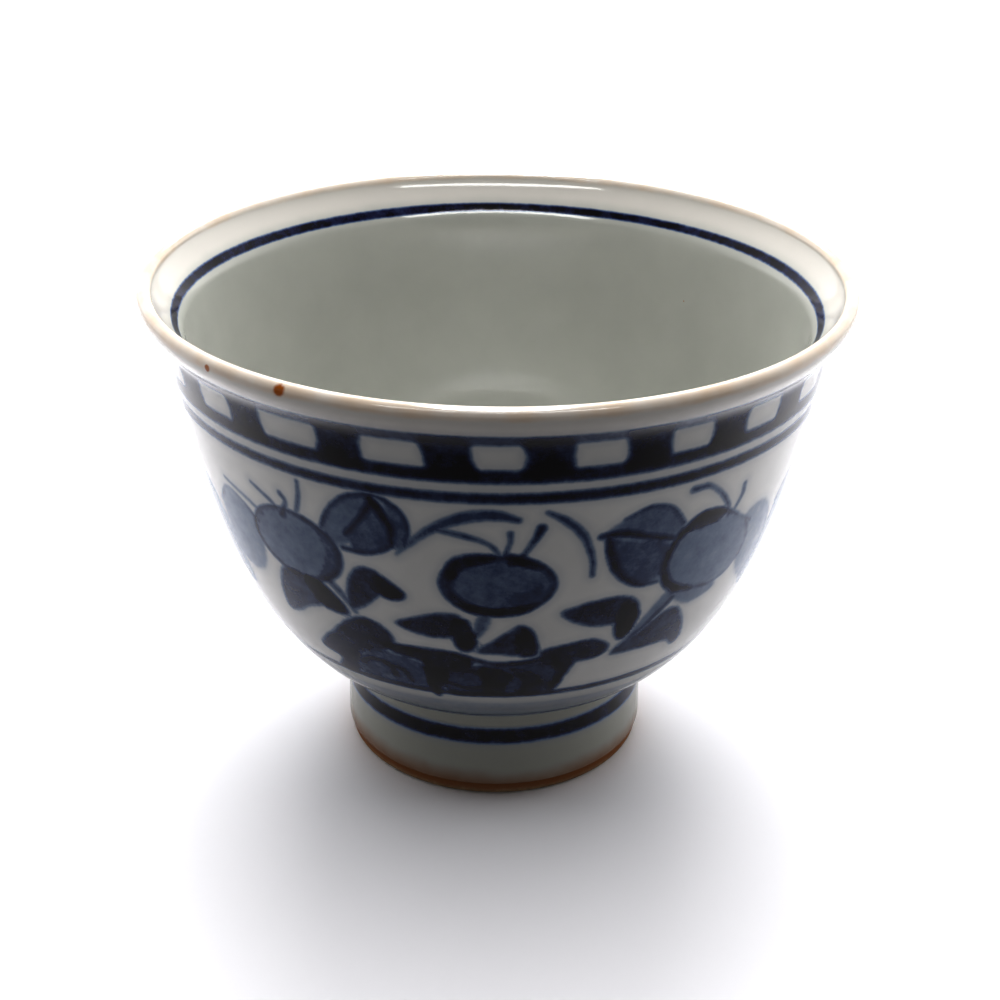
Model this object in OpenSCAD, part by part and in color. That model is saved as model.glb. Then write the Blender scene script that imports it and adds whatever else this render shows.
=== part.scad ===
// A footed porcelain teacup without a handle: clay wall and floor, turned foot ring,
// cobalt brushwork lying on the clay, and the clear glaze coats over it.
// Millimetres. +Z is up, and the origin is the centre of the face that the foot stands on.

/* [Overall] */
// Diameter over the widest point of the lip
rim_d = 90; // [74:1:110]
// Height from the table to the top of the lip
cup_h = 66.5; // [55:0.5:80]

/* [Lip] */
// Thickness of the rounded lip, glaze included
lip_t = 1.85; // [1.5:0.05:2.4]
// How far the lip flares out past the wall below it
flare_out = 2.8; // [1.5:0.1:4]
// Height of the flared stretch below the lip's round
flare_h = 5.1; // [4:0.1:7]

/* [Wall and floor] */
// Wall thickness just below the flare, glaze included
wall_t = 2.65; // [2.2:0.05:3.4]
// Floor thickness between the tea and the foot well, glaze included
floor_t = 5.2; // [4:0.1:7]
// Lean of the upper wall: how far out it goes for each millimetre up
wall_lean = 0.172; // [0.1:0.01:0.24]
// Length of the straight pull of the upper wall
wall_pull = 20.5; // [14:0.5:24]
// Fullness of the belly, as a share of the radius below the flare
belly_full = 0.822; // [0.76:0.002:0.86]
// Rise of the underside from the foot out to the belly
belly_rise = 6; // [4:0.25:8]

/* [Foot] */
// Outside diameter of the foot ring
foot_d = 41; // [34:0.5:50]
// Height of the foot ring up to where the underside starts
foot_h = 12.6; // [10:0.1:15]
// How much narrower the foot is at its top, on the radius
foot_draft = 0.2; // [0:0.1:0.6]
// Width of the foot ring's wall where it stands on the table
foot_wall = 3.3; // [2.6:0.1:4.2]
// Depth of the well inside the foot ring
well_depth = 9.6; // [8:0.1:10]
// How much narrower the well is at its ceiling, on the radius
well_draft = 0.8; // [0:0.1:1.2]
// Height of the bare clay edge that the glaze is wiped off
bare_h = 1.8; // [1.2:0.1:3]
// Rounding of the bare edge, as a straight bevel
foot_bevel = 0.6; // [0.3:0.1:0.9]

/* [Glaze and colour] */
// Thickness of a fired glaze coat
glaze_t = 0.35; // [0.3:0.05:0.5]
// Thickness of the brushed cobalt under the glaze
cobalt_t = 0.08; // [0.06:0.01:0.12]

/* [Painted lines] */
// Line at the top of the check band, measured down from the lip
lip_line_down = 4.2; // [3:0.1:6]
// Line at the bottom of the check band, measured down from the lip
band_line_down = 9.3; // [8:0.1:12]
// Lone line below the check band, measured down from the lip
second_line_down = 12.1; // [11:0.1:14]
// Line inside the cup, measured down from the lip
inside_line_down = 4.3; // [3:0.1:6]
// Height of the ground line under the painted sprays
ground_line_z = 22.9; // [20:0.1:26]
// Height of the middle of the wide band round the foot
foot_band_z = 9.2; // [6:0.1:9.5]
// Width of the ordinary lines
line_w = 0.8; // [0.4:0.1:1.2]
// Width of the wide lines: the bottom of the check band and the inside line
bold_line_w = 1.1; // [0.6:0.1:1.5]
// Width of the band round the foot
foot_band_w = 1.9; // [1:0.1:2.4]

/* [Check band] */
// Number of dark squares round the cup
check_count = 23; // [16:1:30]
// Share of each step that the dark square fills
check_share = 0.52; // [0.4:0.02:0.6]

/* [Hidden] */
$fn = 96;

CLAY = "#d9d2c4";
BARE_CLAY = "#8a6a4a";
GLAZE = "#c9ccc6";
COBALT = "#2b3550";

CURVE_STEPS = 18;
FLARE_STEPS = 6;
LIP_STEP = 22.5;

// The underside's curve starts this far inside the foot and below its top
UNDERSIDE_INSET = [2.3, 0.8];
// The curve is kept from this far outside the foot, which leaves a plain corner
CORNER_GAP = 0.5;
// Share of the flare's height over which each of its ends eases, outside and inside
FLARE_EASE = 0.38;
INNER_EASE = 0.25;
// Lean of the inside just under the lip
INNER_LIP_LEAN = 0.35;
// The inner wall's pull and lean against those of the outer wall, and its fullness at the floor
INNER_PULL = 1.05;
INNER_LEAN = 1.15;
INNER_FULL = 0.81;

lip_r = lip_t / 2;
rim_r = rim_d / 2;
foot_r = foot_d / 2;
lip_z = cup_h - lip_r;
neck = [rim_r - flare_out, lip_z - flare_h];
inner_neck = neck - [wall_t, 0];
floor_z = well_depth + floor_t;
well_r = foot_r - foot_wall;

// A cubic curve through four control points, without its first point
function curve(a, b, c, d, n) =
    [for (i = [1 : n]) let (t = i / n, s = 1 - t) s*s*s*a + 3*s*s*t*b + 3*s*t*t*c + t*t*t*d];

// The glaze surface outside: foot, underside, belly, wall and flare, up to the widest point of the lip.
// The underside starts inside the foot, and only what stands outside the foot is kept.
underside_start = [foot_r, foot_h] - UNDERSIDE_INSET;
body_side = curve(
    underside_start,
    [neck.x * belly_full, underside_start.y + belly_rise],
    neck - wall_pull * [wall_lean, 1],
    neck, CURVE_STEPS);
flare_side = curve(
    neck,
    neck + FLARE_EASE * flare_h * [wall_lean, 1],
    [rim_r, lip_z - FLARE_EASE * flare_h],
    [rim_r, lip_z], FLARE_STEPS);
outer_side = concat(
    [[foot_r, bare_h], [foot_r - foot_draft, foot_h]],
    [for (p = body_side) if (p.x > foot_r + CORNER_GAP) p],
    flare_side);

// The round of the lip, from its widest point over the top to the inside
lip_round = [
    for (a = [LIP_STEP : LIP_STEP : 180 - LIP_STEP])
        [rim_r - lip_r + lip_r * cos(a), lip_z + lip_r * sin(a)]
];

// The glaze surface inside, from the lip down the flare and the wall to the middle of the floor
inner_lip = [rim_r - lip_t, lip_z];
inner_side = concat(
    [inner_lip],
    curve(
        inner_lip,
        inner_lip - INNER_EASE * flare_h * [INNER_LIP_LEAN, 1],
        inner_neck + INNER_EASE * flare_h * [wall_lean, 1],
        inner_neck, FLARE_STEPS),
    curve(
        inner_neck,
        inner_neck - INNER_PULL * wall_pull * [INNER_LEAN * wall_lean, 1],
        [inner_neck.x * INNER_FULL, floor_z],
        [0, floor_z], CURVE_STEPS));

// A path moved sideways, to its left for a positive distance; a point on the axis stays on it
function unit(v) = v / norm(v);
function left_of(v) = [-v.y, v.x];
function path_normal(path, i) =
    let (
        n = len(path),
        before = unit(path[max(i, 1)] - path[max(i, 1) - 1]),
        after = unit(path[min(i, n - 2) + 1] - path[min(i, n - 2)])
    )
    unit(left_of(before + after));
function moved(path, d) = [
    for (i = [0 : len(path) - 1])
        let (p = path[i] + d * path_normal(path, i))
            [path[i].x == 0 ? 0 : p.x, p.y]
];
function reversed(path) = [for (i = [len(path) - 1 : -1 : 0]) path[i]];

// The two glaze coats meet at the top of the lip
lip_top = floor(len(lip_round) / 2);
outer_glaze_path = concat(outer_side, [for (i = [0 : lip_top]) lip_round[i]]);
inner_glaze_path = concat([for (i = [lip_top : len(lip_round) - 1]) lip_round[i]], inner_side);
whole_path = concat(outer_side, lip_round, inner_side);
whole_clay = moved(whole_path, glaze_t);
whole_cobalt = moved(whole_path, glaze_t - cobalt_t);
outer_count = len(outer_glaze_path);
whole_count = len(whole_path);

function part_of(path, first, last) = [for (i = [first : last]) path[i]];
outer_clay = part_of(whole_clay, 0, outer_count - 1);
inner_clay = part_of(whole_clay, outer_count - 1, whole_count - 1);
outer_cobalt = part_of(whole_cobalt, 0, outer_count - 1);
inner_cobalt = part_of(whole_cobalt, outer_count - 1, whole_count - 1);

// The clay's radius on the outside of the foot, at a height
function foot_clay_r(z) =
    let (low = outer_clay[0], high = outer_clay[1])
    low.x + (high.x - low.x) * (z - low.y) / (high.y - low.y);

module between(outer, inner) {
    polygon(concat(outer, reversed(inner)));
}

// What lies between two heights
module strip(z, w) {
    intersection() {
        children();
        translate([0, z - w / 2]) square([rim_r + 1, w]);
    }
}

module outside_stroke(z, w) {
    strip(z, w) between(outer_clay, outer_cobalt);
}

module inside_stroke(z, w) {
    strip(z, w) between(inner_clay, inner_cobalt);
}

lip_line_z = cup_h - lip_line_down;
band_line_z = cup_h - band_line_down;
second_line_z = cup_h - second_line_down;
inside_line_z = cup_h - inside_line_down;
check_top = lip_line_z - line_w / 2;
check_bottom = band_line_z + bold_line_w / 2;
check_z = (check_top + check_bottom) / 2;
check_h = check_top - check_bottom;
check_step = 360 / check_count;
// A white window is centred on the side facing -Y
CHECK_START = -90;

module clay_bowl() {
    color(CLAY)
        rotate_extrude()
            polygon(concat(
                [[0, well_depth], [foot_clay_r(well_depth), well_depth]],
                part_of(whole_clay, 1, whole_count - 1)));
}

module foot_ring() {
    color(BARE_CLAY)
        rotate_extrude()
            polygon([
                [well_r - well_draft, well_depth],
                [well_r, foot_bevel],
                [well_r + foot_bevel, 0],
                [foot_clay_r(0) - foot_bevel, 0],
                [foot_clay_r(foot_bevel), foot_bevel],
                [foot_clay_r(well_depth), well_depth]
            ]);
}

// The check band leaves one groove all round, which the squares and the window glaze share
module outside_glaze() {
    color(GLAZE)
        rotate_extrude()
            difference() {
                between(outer_glaze_path, outer_clay);
                outside_stroke(lip_line_z, line_w);
                outside_stroke(check_z, check_h);
                outside_stroke(band_line_z, bold_line_w);
                outside_stroke(second_line_z, line_w);
                outside_stroke(ground_line_z, line_w);
                outside_stroke(foot_band_z, foot_band_w);
            }
}

module inside_glaze() {
    color(GLAZE)
        rotate_extrude()
            difference() {
                between(inner_glaze_path, inner_clay);
                inside_stroke(inside_line_z, bold_line_w);
            }
}

module foot_well_glaze() {
    wall_top = [well_r - well_draft, well_depth];
    wall_foot = [well_r - well_draft * bare_h / well_depth, bare_h];
    color(GLAZE)
        rotate_extrude()
            polygon([
                [0, well_depth],
                wall_top,
                wall_foot,
                wall_foot - [glaze_t, 0],
                wall_top - [glaze_t, glaze_t],
                [0, well_depth - glaze_t]
            ]);
}

// Every other stretch of the check band, each of them turn degrees long, the first one centred at start
module stretches(start, turn) {
    for (i = [0 : check_count - 1])
        rotate([0, 0, start + i * check_step - turn / 2])
            rotate_extrude(angle = turn)
                outside_stroke(check_z, check_h);
}

module ring_stroke(z, w) {
    color(COBALT) rotate_extrude() outside_stroke(z, w);
}

module inside_line() {
    color(COBALT) rotate_extrude() inside_stroke(inside_line_z, bold_line_w);
}

module lip_line() {
    ring_stroke(lip_line_z, line_w);
}

module check_squares() {
    color(COBALT) stretches(CHECK_START + check_step / 2, check_share * check_step);
}

// The clear glaze that fills the white windows between the squares, as deep as the cobalt
module window_glaze() {
    color(GLAZE) stretches(CHECK_START, (1 - check_share) * check_step);
}

module band_line() {
    ring_stroke(band_line_z, bold_line_w);
}

module second_line() {
    ring_stroke(second_line_z, line_w);
}

module ground_line() {
    ring_stroke(ground_line_z, line_w);
}

module foot_band() {
    ring_stroke(foot_band_z, foot_band_w);
}

clay_bowl();
foot_ring();
inside_glaze();
outside_glaze();
foot_well_glaze();
inside_line();
lip_line();
check_squares();
window_glaze();
band_line();
second_line();
ground_line();
foot_band();
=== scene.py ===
"""Footed porcelain teacup, painted in underglaze cobalt, standing in a white sweep.

The file is laid out as an add-on and run as a script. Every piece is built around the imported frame.
"""

import math

import bpy
import numpy as np
from bpy.props import FloatProperty, FloatVectorProperty, IntProperty, PointerProperty
from mathutils import Matrix, Vector


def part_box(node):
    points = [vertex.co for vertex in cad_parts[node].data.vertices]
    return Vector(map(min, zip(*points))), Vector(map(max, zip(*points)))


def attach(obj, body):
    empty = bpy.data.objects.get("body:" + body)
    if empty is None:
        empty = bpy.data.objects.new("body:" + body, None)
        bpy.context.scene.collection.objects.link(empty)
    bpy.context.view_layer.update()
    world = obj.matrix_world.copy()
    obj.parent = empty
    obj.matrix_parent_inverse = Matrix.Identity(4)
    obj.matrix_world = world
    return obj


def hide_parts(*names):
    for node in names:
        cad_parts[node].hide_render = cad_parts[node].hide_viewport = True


bl_info = {
    "name": "Footed Teacup",
    "version": (1, 0, 0),
    "blender": (4, 5, 0),
    "location": "View3D > Sidebar > Teacup",
    "description": "Builds a glazed teacup with brushed cobalt decoration and its studio stage",
    "category": "Object",
}

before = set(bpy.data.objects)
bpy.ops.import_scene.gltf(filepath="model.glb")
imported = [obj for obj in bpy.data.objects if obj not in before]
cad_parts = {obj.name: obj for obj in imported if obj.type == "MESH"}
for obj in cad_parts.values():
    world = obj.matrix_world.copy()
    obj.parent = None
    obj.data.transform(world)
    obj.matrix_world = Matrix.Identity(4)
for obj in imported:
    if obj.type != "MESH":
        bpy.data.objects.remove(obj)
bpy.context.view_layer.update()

MM = 0.001
GLAZE_MM = 0.35
BODY = "root"
GLAZE_SLOT = "clear_glaze"
CLAY_SLOT = "bare_foot_clay"

# ---------------------------------------------------------------- sizes and colours


def length(name, description, millimetres):
    """A size that the user can change, given here in millimetres and kept in metres."""
    return FloatProperty(
        name=name, description=description, default=millimetres * MM, unit="LENGTH", precision=5)


def colour(name, description, hex_value):
    """A colour that the user can change, given as an sRGB hex value."""
    return FloatVectorProperty(
        name=name, description=description, default=linear(hex_value),
        size=4, min=0, max=1, subtype="COLOR")


def linear(hex_value):
    """The linear colour of an sRGB hex value such as "a0b0c0"."""
    channels = [int(hex_value[i:i + 2], 16) / 255 for i in (0, 2, 4)]
    return tuple(c / 12.92 if c <= 0.04045 else ((c + 0.055) / 1.055) ** 2.4 for c in channels) + (1.0,)


def low_mm(node, axis):
    """The low side of a node of the frame along an axis, in millimetres."""
    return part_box(node)[0][axis] / MM


def high_mm(node, axis):
    """The high side of a node of the frame along an axis, in millimetres."""
    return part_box(node)[1][axis] / MM


class TeacupSizes(bpy.types.PropertyGroup):
    """Sizes of the cup. What the frame fixes takes its default from the frame."""

    rim_r: length("Lip radius", "Radius over the widest point of the lip", high_mm("outside_glaze", 0))
    cup_h: length("Height", "Height from the table to the top of the lip", high_mm("outside_glaze", 2))
    bare_h: length("Bare edge", "Height of the unglazed edge of the foot", low_mm("outside_glaze", 2))
    well_depth: length("Well depth", "Depth of the well inside the foot", high_mm("foot_ring", 2))
    floor_z: length("Floor", "Height of the inside floor's middle", low_mm("inside_glaze", 2) + GLAZE_MM)
    lip_t: length("Lip thickness", "Thickness of the rounded lip", 1.85)
    flare_out: length("Flare", "How far the lip flares out past the wall", 2.8)
    flare_h: length("Flare height", "Height of the flared stretch below the lip's round", 5.1)
    wall_t: length("Wall thickness", "Wall thickness just below the flare", 2.65)
    wall_lean: FloatProperty(name="Wall lean", description="Lean of the upper wall", default=0.172)
    wall_pull: length("Wall pull", "Length of the straight pull of the upper wall", 20.5)
    belly_full: FloatProperty(name="Belly", description="Fullness of the belly", default=0.822)
    belly_rise: length("Belly rise", "Rise of the underside from the foot to the belly", 6.0)
    foot_r: length("Foot radius", "Outside radius of the glazed foot", 20.5)
    foot_draft: length("Foot draft", "How much narrower the foot is at its top, on the radius", 0.2)
    foot_h: length("Foot height", "Height of the foot up to where the underside starts", 12.6)
    foot_wall: length("Foot wall", "Width of the foot ring where it stands", 3.3)
    well_draft: length("Well draft", "How much narrower the well is at its ceiling, on the radius", 0.8)
    glaze_t: length("Glaze", "Thickness of a fired glaze coat", GLAZE_MM)
    turns: IntProperty(name="Columns", description="Columns round the lathed surfaces", default=256, min=64)


class TeacupPaint(bpy.types.PropertyGroup):
    """Heights and widths of the brushed lines."""

    lip_line: length("Lip line", "Height of the line at the top of the check band", 62.1)
    lip_line_w: length("Lip line width", "Width of that line", 1.7)
    band_line: length("Band line", "Height of the line at the bottom of the check band", 57.35)
    band_line_w: length("Band line width", "Width of that line", 1.6)
    second_line: length("Second line", "Height of the lone line below the band", 54.45)
    second_line_w: length("Second line width", "Width of that line", 1.25)
    ground_line: length("Ground line", "Height of the line under the sprays", 23.0)
    ground_line_w: length("Ground line width", "Width of that line", 0.8)
    join_line: length("Join line", "Height of the thin line where the foot joins the body", 12.9)
    join_line_w: length("Join line width", "Width of that line", 0.5)
    underside_wash: length("Underside wash", "Height of the faint wash below the ground line", 17.6)
    underside_wash_w: length("Underside wash width", "Width of that wash", 7.6)
    underside_line: length("Underside line", "Height of the thin line in that wash", 15.4)
    underside_line_w: length("Underside line width", "Width of that line", 0.35)
    foot_band: length("Foot band", "Height of the wide band round the foot", 9.3)
    foot_band_w: length("Foot band width", "Width of that band", 2.0)
    inside_line: length("Inside line", "Height of the line inside the cup", 62.2)
    inside_line_w: length("Inside line width", "Width of that line", 1.15)
    softness: length("Softness", "How far a stroke's edge bleeds into the glaze", 0.6)


class TeacupColours(bpy.types.PropertyGroup):
    """Colours of the fired materials."""

    glaze: colour("Glaze", "Grey-white glaze over the outside", "dddcda")
    # Partly painted shade: the inside glaze is darker and greener than the outside glaze, for the shade
    # inside the cup.
    inside: colour("Inside glaze", "Grey-green glaze inside, where it lies thicker", "bdbeb8")
    # Painted shade: the darker grey-green that glazed() lays over the glaze low on the cup, where shade
    # falls.
    foot_glaze: colour("Pooled glaze", "Grey-green of the glaze that has run down to the foot", "96968d")
    lip: colour("Lip", "Tan of the lip, where the glaze runs thin", "dfd6cc")
    near_lip: colour("Neck", "Pale glaze just below the lip", "dcd7d1")
    iron: colour("Iron spot", "Orange-brown of an iron spot", "a8601c")
    wash: colour("Cobalt wash", "Thin cobalt", "72829c")
    mid: colour("Cobalt", "Cobalt of ordinary strength", "35446a")
    dark: colour("Heavy cobalt", "Cobalt laid on heavily", "1e2142")
    burnt: colour("Burnt cobalt", "The brown-black of the thickest cobalt", "0e090f")
    clay: colour("Bare clay", "Unglazed clay of the foot", "a58a68")
    toast: colour("Toasted clay", "The orange-brown line where bare clay meets glaze", "7d4d22")
    floor: colour("Floor", "White sweep", "f4f3f6")


# ---------------------------------------------------------------- the lathe profile


def curve(a, b, c, d, steps):
    """Points along a cubic curve through four control points, without its first point."""
    a, b, c, d = (np.array(p, float) for p in (a, b, c, d))
    t = np.linspace(0, 1, steps + 1)[1:, None]
    s = 1 - t
    return s**3 * a + 3 * s**2 * t * b + 3 * s * t**2 * c + t**3 * d


def arc(centre, radius, start, end, steps):
    """Points along an arc, angles in degrees."""
    turn = np.radians(np.linspace(start, end, steps + 1))
    return np.stack([centre[0] + radius * np.cos(turn), centre[1] + radius * np.sin(turn)], 1)


def rounded_corner(before, corner, after, radius, steps=6):
    """A corner between two straight runs, eased by a curve that starts and ends radius away from it."""
    before, corner, after = (np.array(p, float) for p in (before, corner, after))
    first = corner + (before - corner) / np.linalg.norm(before - corner) * radius
    last = corner + (after - corner) / np.linalg.norm(after - corner) * radius
    return np.vstack([[first], curve(first, (first + corner) / 2, (last + corner) / 2, last, steps)])


UNDERSIDE_INSET = np.array([2.3, 0.8]) * MM
FLARE_EASE = 0.38
INNER_EASE = 0.25
INNER_LIP_LEAN = 0.35
INNER_PULL = 1.05
INNER_LEAN = 1.15
INNER_FULL = 0.81
GLAZE_POOL = 0.9 * MM


def outer_side(size):
    """The glaze surface outside, as radius and height: foot, underside, belly, wall and flare."""
    lip_r = size.lip_t / 2
    lip_z = size.cup_h - lip_r
    neck = np.array([size.rim_r - size.flare_out, lip_z - size.flare_h])
    lean = np.array([size.wall_lean, 1])
    start = np.array([size.foot_r, size.foot_h]) - UNDERSIDE_INSET
    belly = (neck[0] * size.belly_full, start[1] + size.belly_rise)
    wall = curve(start, belly, neck - size.wall_pull * lean, neck, 240)
    wall = wall[wall[:, 0] > size.foot_r + GLAZE_POOL]
    flare = curve(
        neck, neck + FLARE_EASE * size.flare_h * lean,
        (size.rim_r, lip_z - FLARE_EASE * size.flare_h), (size.rim_r, lip_z), 60)
    foot_top = (size.foot_r - size.foot_draft, size.foot_h)
    foot_low = (size.foot_r, size.bare_h)
    foot_glaze = rounded_corner(foot_low, foot_top, wall[0], GLAZE_POOL)
    return np.vstack([[foot_low], foot_glaze, wall, flare])


def lip_round(size, start, end, steps=14):
    """The round of the lip, from its widest point over the top to the inside."""
    lip_r = size.lip_t / 2
    return arc((size.rim_r - lip_r, size.cup_h - lip_r), lip_r, start, end, steps)


def inner_side(size):
    """The glaze surface inside, from the lip down the flare and the wall to the middle of the floor."""
    lip_z = size.cup_h - size.lip_t / 2
    lip = np.array([size.rim_r - size.lip_t, lip_z])
    neck = np.array([size.rim_r - size.flare_out - size.wall_t, lip_z - size.flare_h])
    lean = np.array([size.wall_lean, 1])
    flare = curve(
        lip, lip - INNER_EASE * size.flare_h * np.array([INNER_LIP_LEAN, 1]),
        neck + INNER_EASE * size.flare_h * lean, neck, 60)
    wall = curve(
        neck, neck - INNER_PULL * size.wall_pull * np.array([INNER_LEAN * size.wall_lean, 1]),
        (neck[0] * INNER_FULL, size.floor_z), (0, size.floor_z), 240)
    return np.vstack([flare, wall])


def pushed(path, distance):
    """A path moved sideways, to its left; a point on the axis stays on it."""
    along = np.gradient(path, axis=0)
    along /= np.linalg.norm(along, axis=1)[:, None]
    moved = path + distance * np.stack([-along[:, 1], along[:, 0]], 1)
    moved[path[:, 0] < 1e-9, 0] = 0
    return moved


def respaced(path, zones, coarse):
    """A path with new points along it: coarse apart, or closer in a zone (low height, high height, step)."""
    walk = np.concatenate([[0], np.cumsum(np.linalg.norm(np.diff(path, axis=0), axis=1))])
    stops = [0.0]
    while stops[-1] < walk[-1]:
        height = np.interp(stops[-1], walk, path[:, 1])
        steps = [step for low, high, step in zones if low <= height <= high]
        stops.append(stops[-1] + min(steps, default=coarse))
    stops = np.array(stops) * walk[-1] / stops[-1]
    return np.stack([np.interp(stops, walk, path[:, i]) for i in (0, 1)], 1)


def line_zones(lines, step=0.45 * MM, reach=1.0 * MM):
    """The zones of a wall that hold painted lines, each given as (height, width)."""
    return [(z - w / 2 - reach, z + w / 2 + reach / 2, step) for z, w in lines]


# ---------------------------------------------------------------- modelling

WELD = MM / 200
SHARP_EDGE = math.radians(40)


def turned(name, outline, steps, closed):
    """A lathed piece: its outline is drawn from one vertex by extruding, then spun round the cup's axis."""
    bpy.ops.object.select_all(action="DESELECT")
    bpy.ops.mesh.primitive_plane_add(size=MM, location=(0, 0, 0))
    piece = bpy.context.object
    piece.name = piece.data.name = name
    bpy.ops.object.mode_set(mode="EDIT")
    bpy.ops.mesh.select_all(action="SELECT")
    bpy.ops.mesh.merge(type="CENTER")
    bpy.ops.transform.translate(value=(outline[0][0], 0, outline[0][1]))
    for before, after in zip(outline[:-1], outline[1:]):
        step = (after[0] - before[0], 0, after[1] - before[1])
        bpy.ops.mesh.extrude_region_move(TRANSFORM_OT_translate={"value": step})
    if closed:
        bpy.ops.object.mode_set(mode="OBJECT")
        ends = (0, len(piece.data.vertices) - 1)
        for vertex in piece.data.vertices:
            vertex.select = vertex.index in ends
        bpy.ops.object.mode_set(mode="EDIT")
        bpy.ops.mesh.edge_face_add()
    bpy.ops.mesh.select_all(action="SELECT")
    bpy.ops.mesh.spin(steps=steps, angle=math.tau, center=(0, 0, 0), axis=(0, 0, 1))
    bpy.ops.mesh.select_all(action="SELECT")
    bpy.ops.mesh.remove_doubles(threshold=WELD)
    bpy.ops.mesh.normals_make_consistent(inside=False)
    bpy.ops.object.mode_set(mode="OBJECT")
    return piece


def finished(piece, finish, slot, *stands_for):
    """Smooth shading up to the sharp edges, the material, and the piece's place in the frame."""
    bpy.ops.object.select_all(action="DESELECT")
    piece.select_set(True)
    bpy.context.view_layer.objects.active = piece
    bpy.ops.object.shade_smooth_by_angle(angle=SHARP_EDGE)
    piece.data.materials.clear()
    piece.data.materials.append(finish)
    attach(piece, BODY)
    if stands_for:
        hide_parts(*stands_for)


def where(piece):
    """Every vertex's angle round from the front (-Y) in degrees, and its height and radius in mm."""
    found = np.empty(len(piece.data.vertices) * 3)
    piece.data.vertices.foreach_get("co", found)
    x, y, z = found.reshape(-1, 3).T
    return np.degrees(np.arctan2(x, -y)), z / MM, np.hypot(x, y) / MM


def refine(piece, close):
    """Cuts in four every face that touches a vertex named in close."""
    loops = np.empty(len(piece.data.loops), int)
    piece.data.loops.foreach_get("vertex_index", loops)
    starts = np.empty(len(piece.data.polygons), int)
    piece.data.polygons.foreach_get("loop_start", starts)
    chosen = np.maximum.reduceat(close[loops], starts)
    bpy.ops.object.mode_set(mode="EDIT")
    bpy.ops.mesh.select_mode(type="FACE")
    bpy.ops.mesh.select_all(action="DESELECT")
    bpy.ops.object.mode_set(mode="OBJECT")
    piece.data.polygons.foreach_set("select", chosen)
    bpy.ops.object.mode_set(mode="EDIT")
    bpy.ops.mesh.subdivide(number_cuts=1, ngon=False, quadcorner="INNERVERT")
    bpy.ops.mesh.select_mode(type="VERT")
    bpy.ops.object.mode_set(mode="OBJECT")


# ---------------------------------------------------------------- brushwork

# How far from a painted edge, in millimetres, a vertex still takes note of it.
FAR = 3.0


def wrapped(degrees):
    """An angle brought between -180 and 180 degrees."""
    return (degrees + 180) % 360 - 180


def eased(points, closed, per_span=6):
    """A smooth line through given points, open or closed."""
    points = np.array(points, float)
    if closed:
        ring = np.vstack([points[-1:], points, points[:2]])
    else:
        ring = np.vstack([2 * points[0] - points[1], points, 2 * points[-1] - points[-2]])
    t = np.linspace(0, 1, per_span, endpoint=False)[:, None]
    spans = []
    for a, b, c, d in zip(ring[:-3], ring[1:-2], ring[2:-1], ring[3:]):
        square = (2 * a - 5 * b + 4 * c - d) * t**2
        cube = (3 * b - a - 3 * c + d) * t**3
        spans.append(0.5 * (2 * b + (c - a) * t + square + cube))
    if not closed:
        spans.append(points[-1:])
    return np.vstack(spans)


def nearest(spots, starts, ends):
    """For each spot and each straight span: the distance between them, and how far along the span it is."""
    span = ends - starts
    away = spots[:, None] - starts[None]
    along = np.clip((away * span).sum(2) / np.maximum((span**2).sum(1), 1e-12), 0, 1)
    return np.linalg.norm(away - along[..., None] * span, axis=2), along


def soft_step(x, low, high):
    """0 below low, 1 above high, and smooth between them."""
    t = np.clip((x - low) / (high - low), 0, 1)
    return t * t * (3 - 2 * t)


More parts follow.
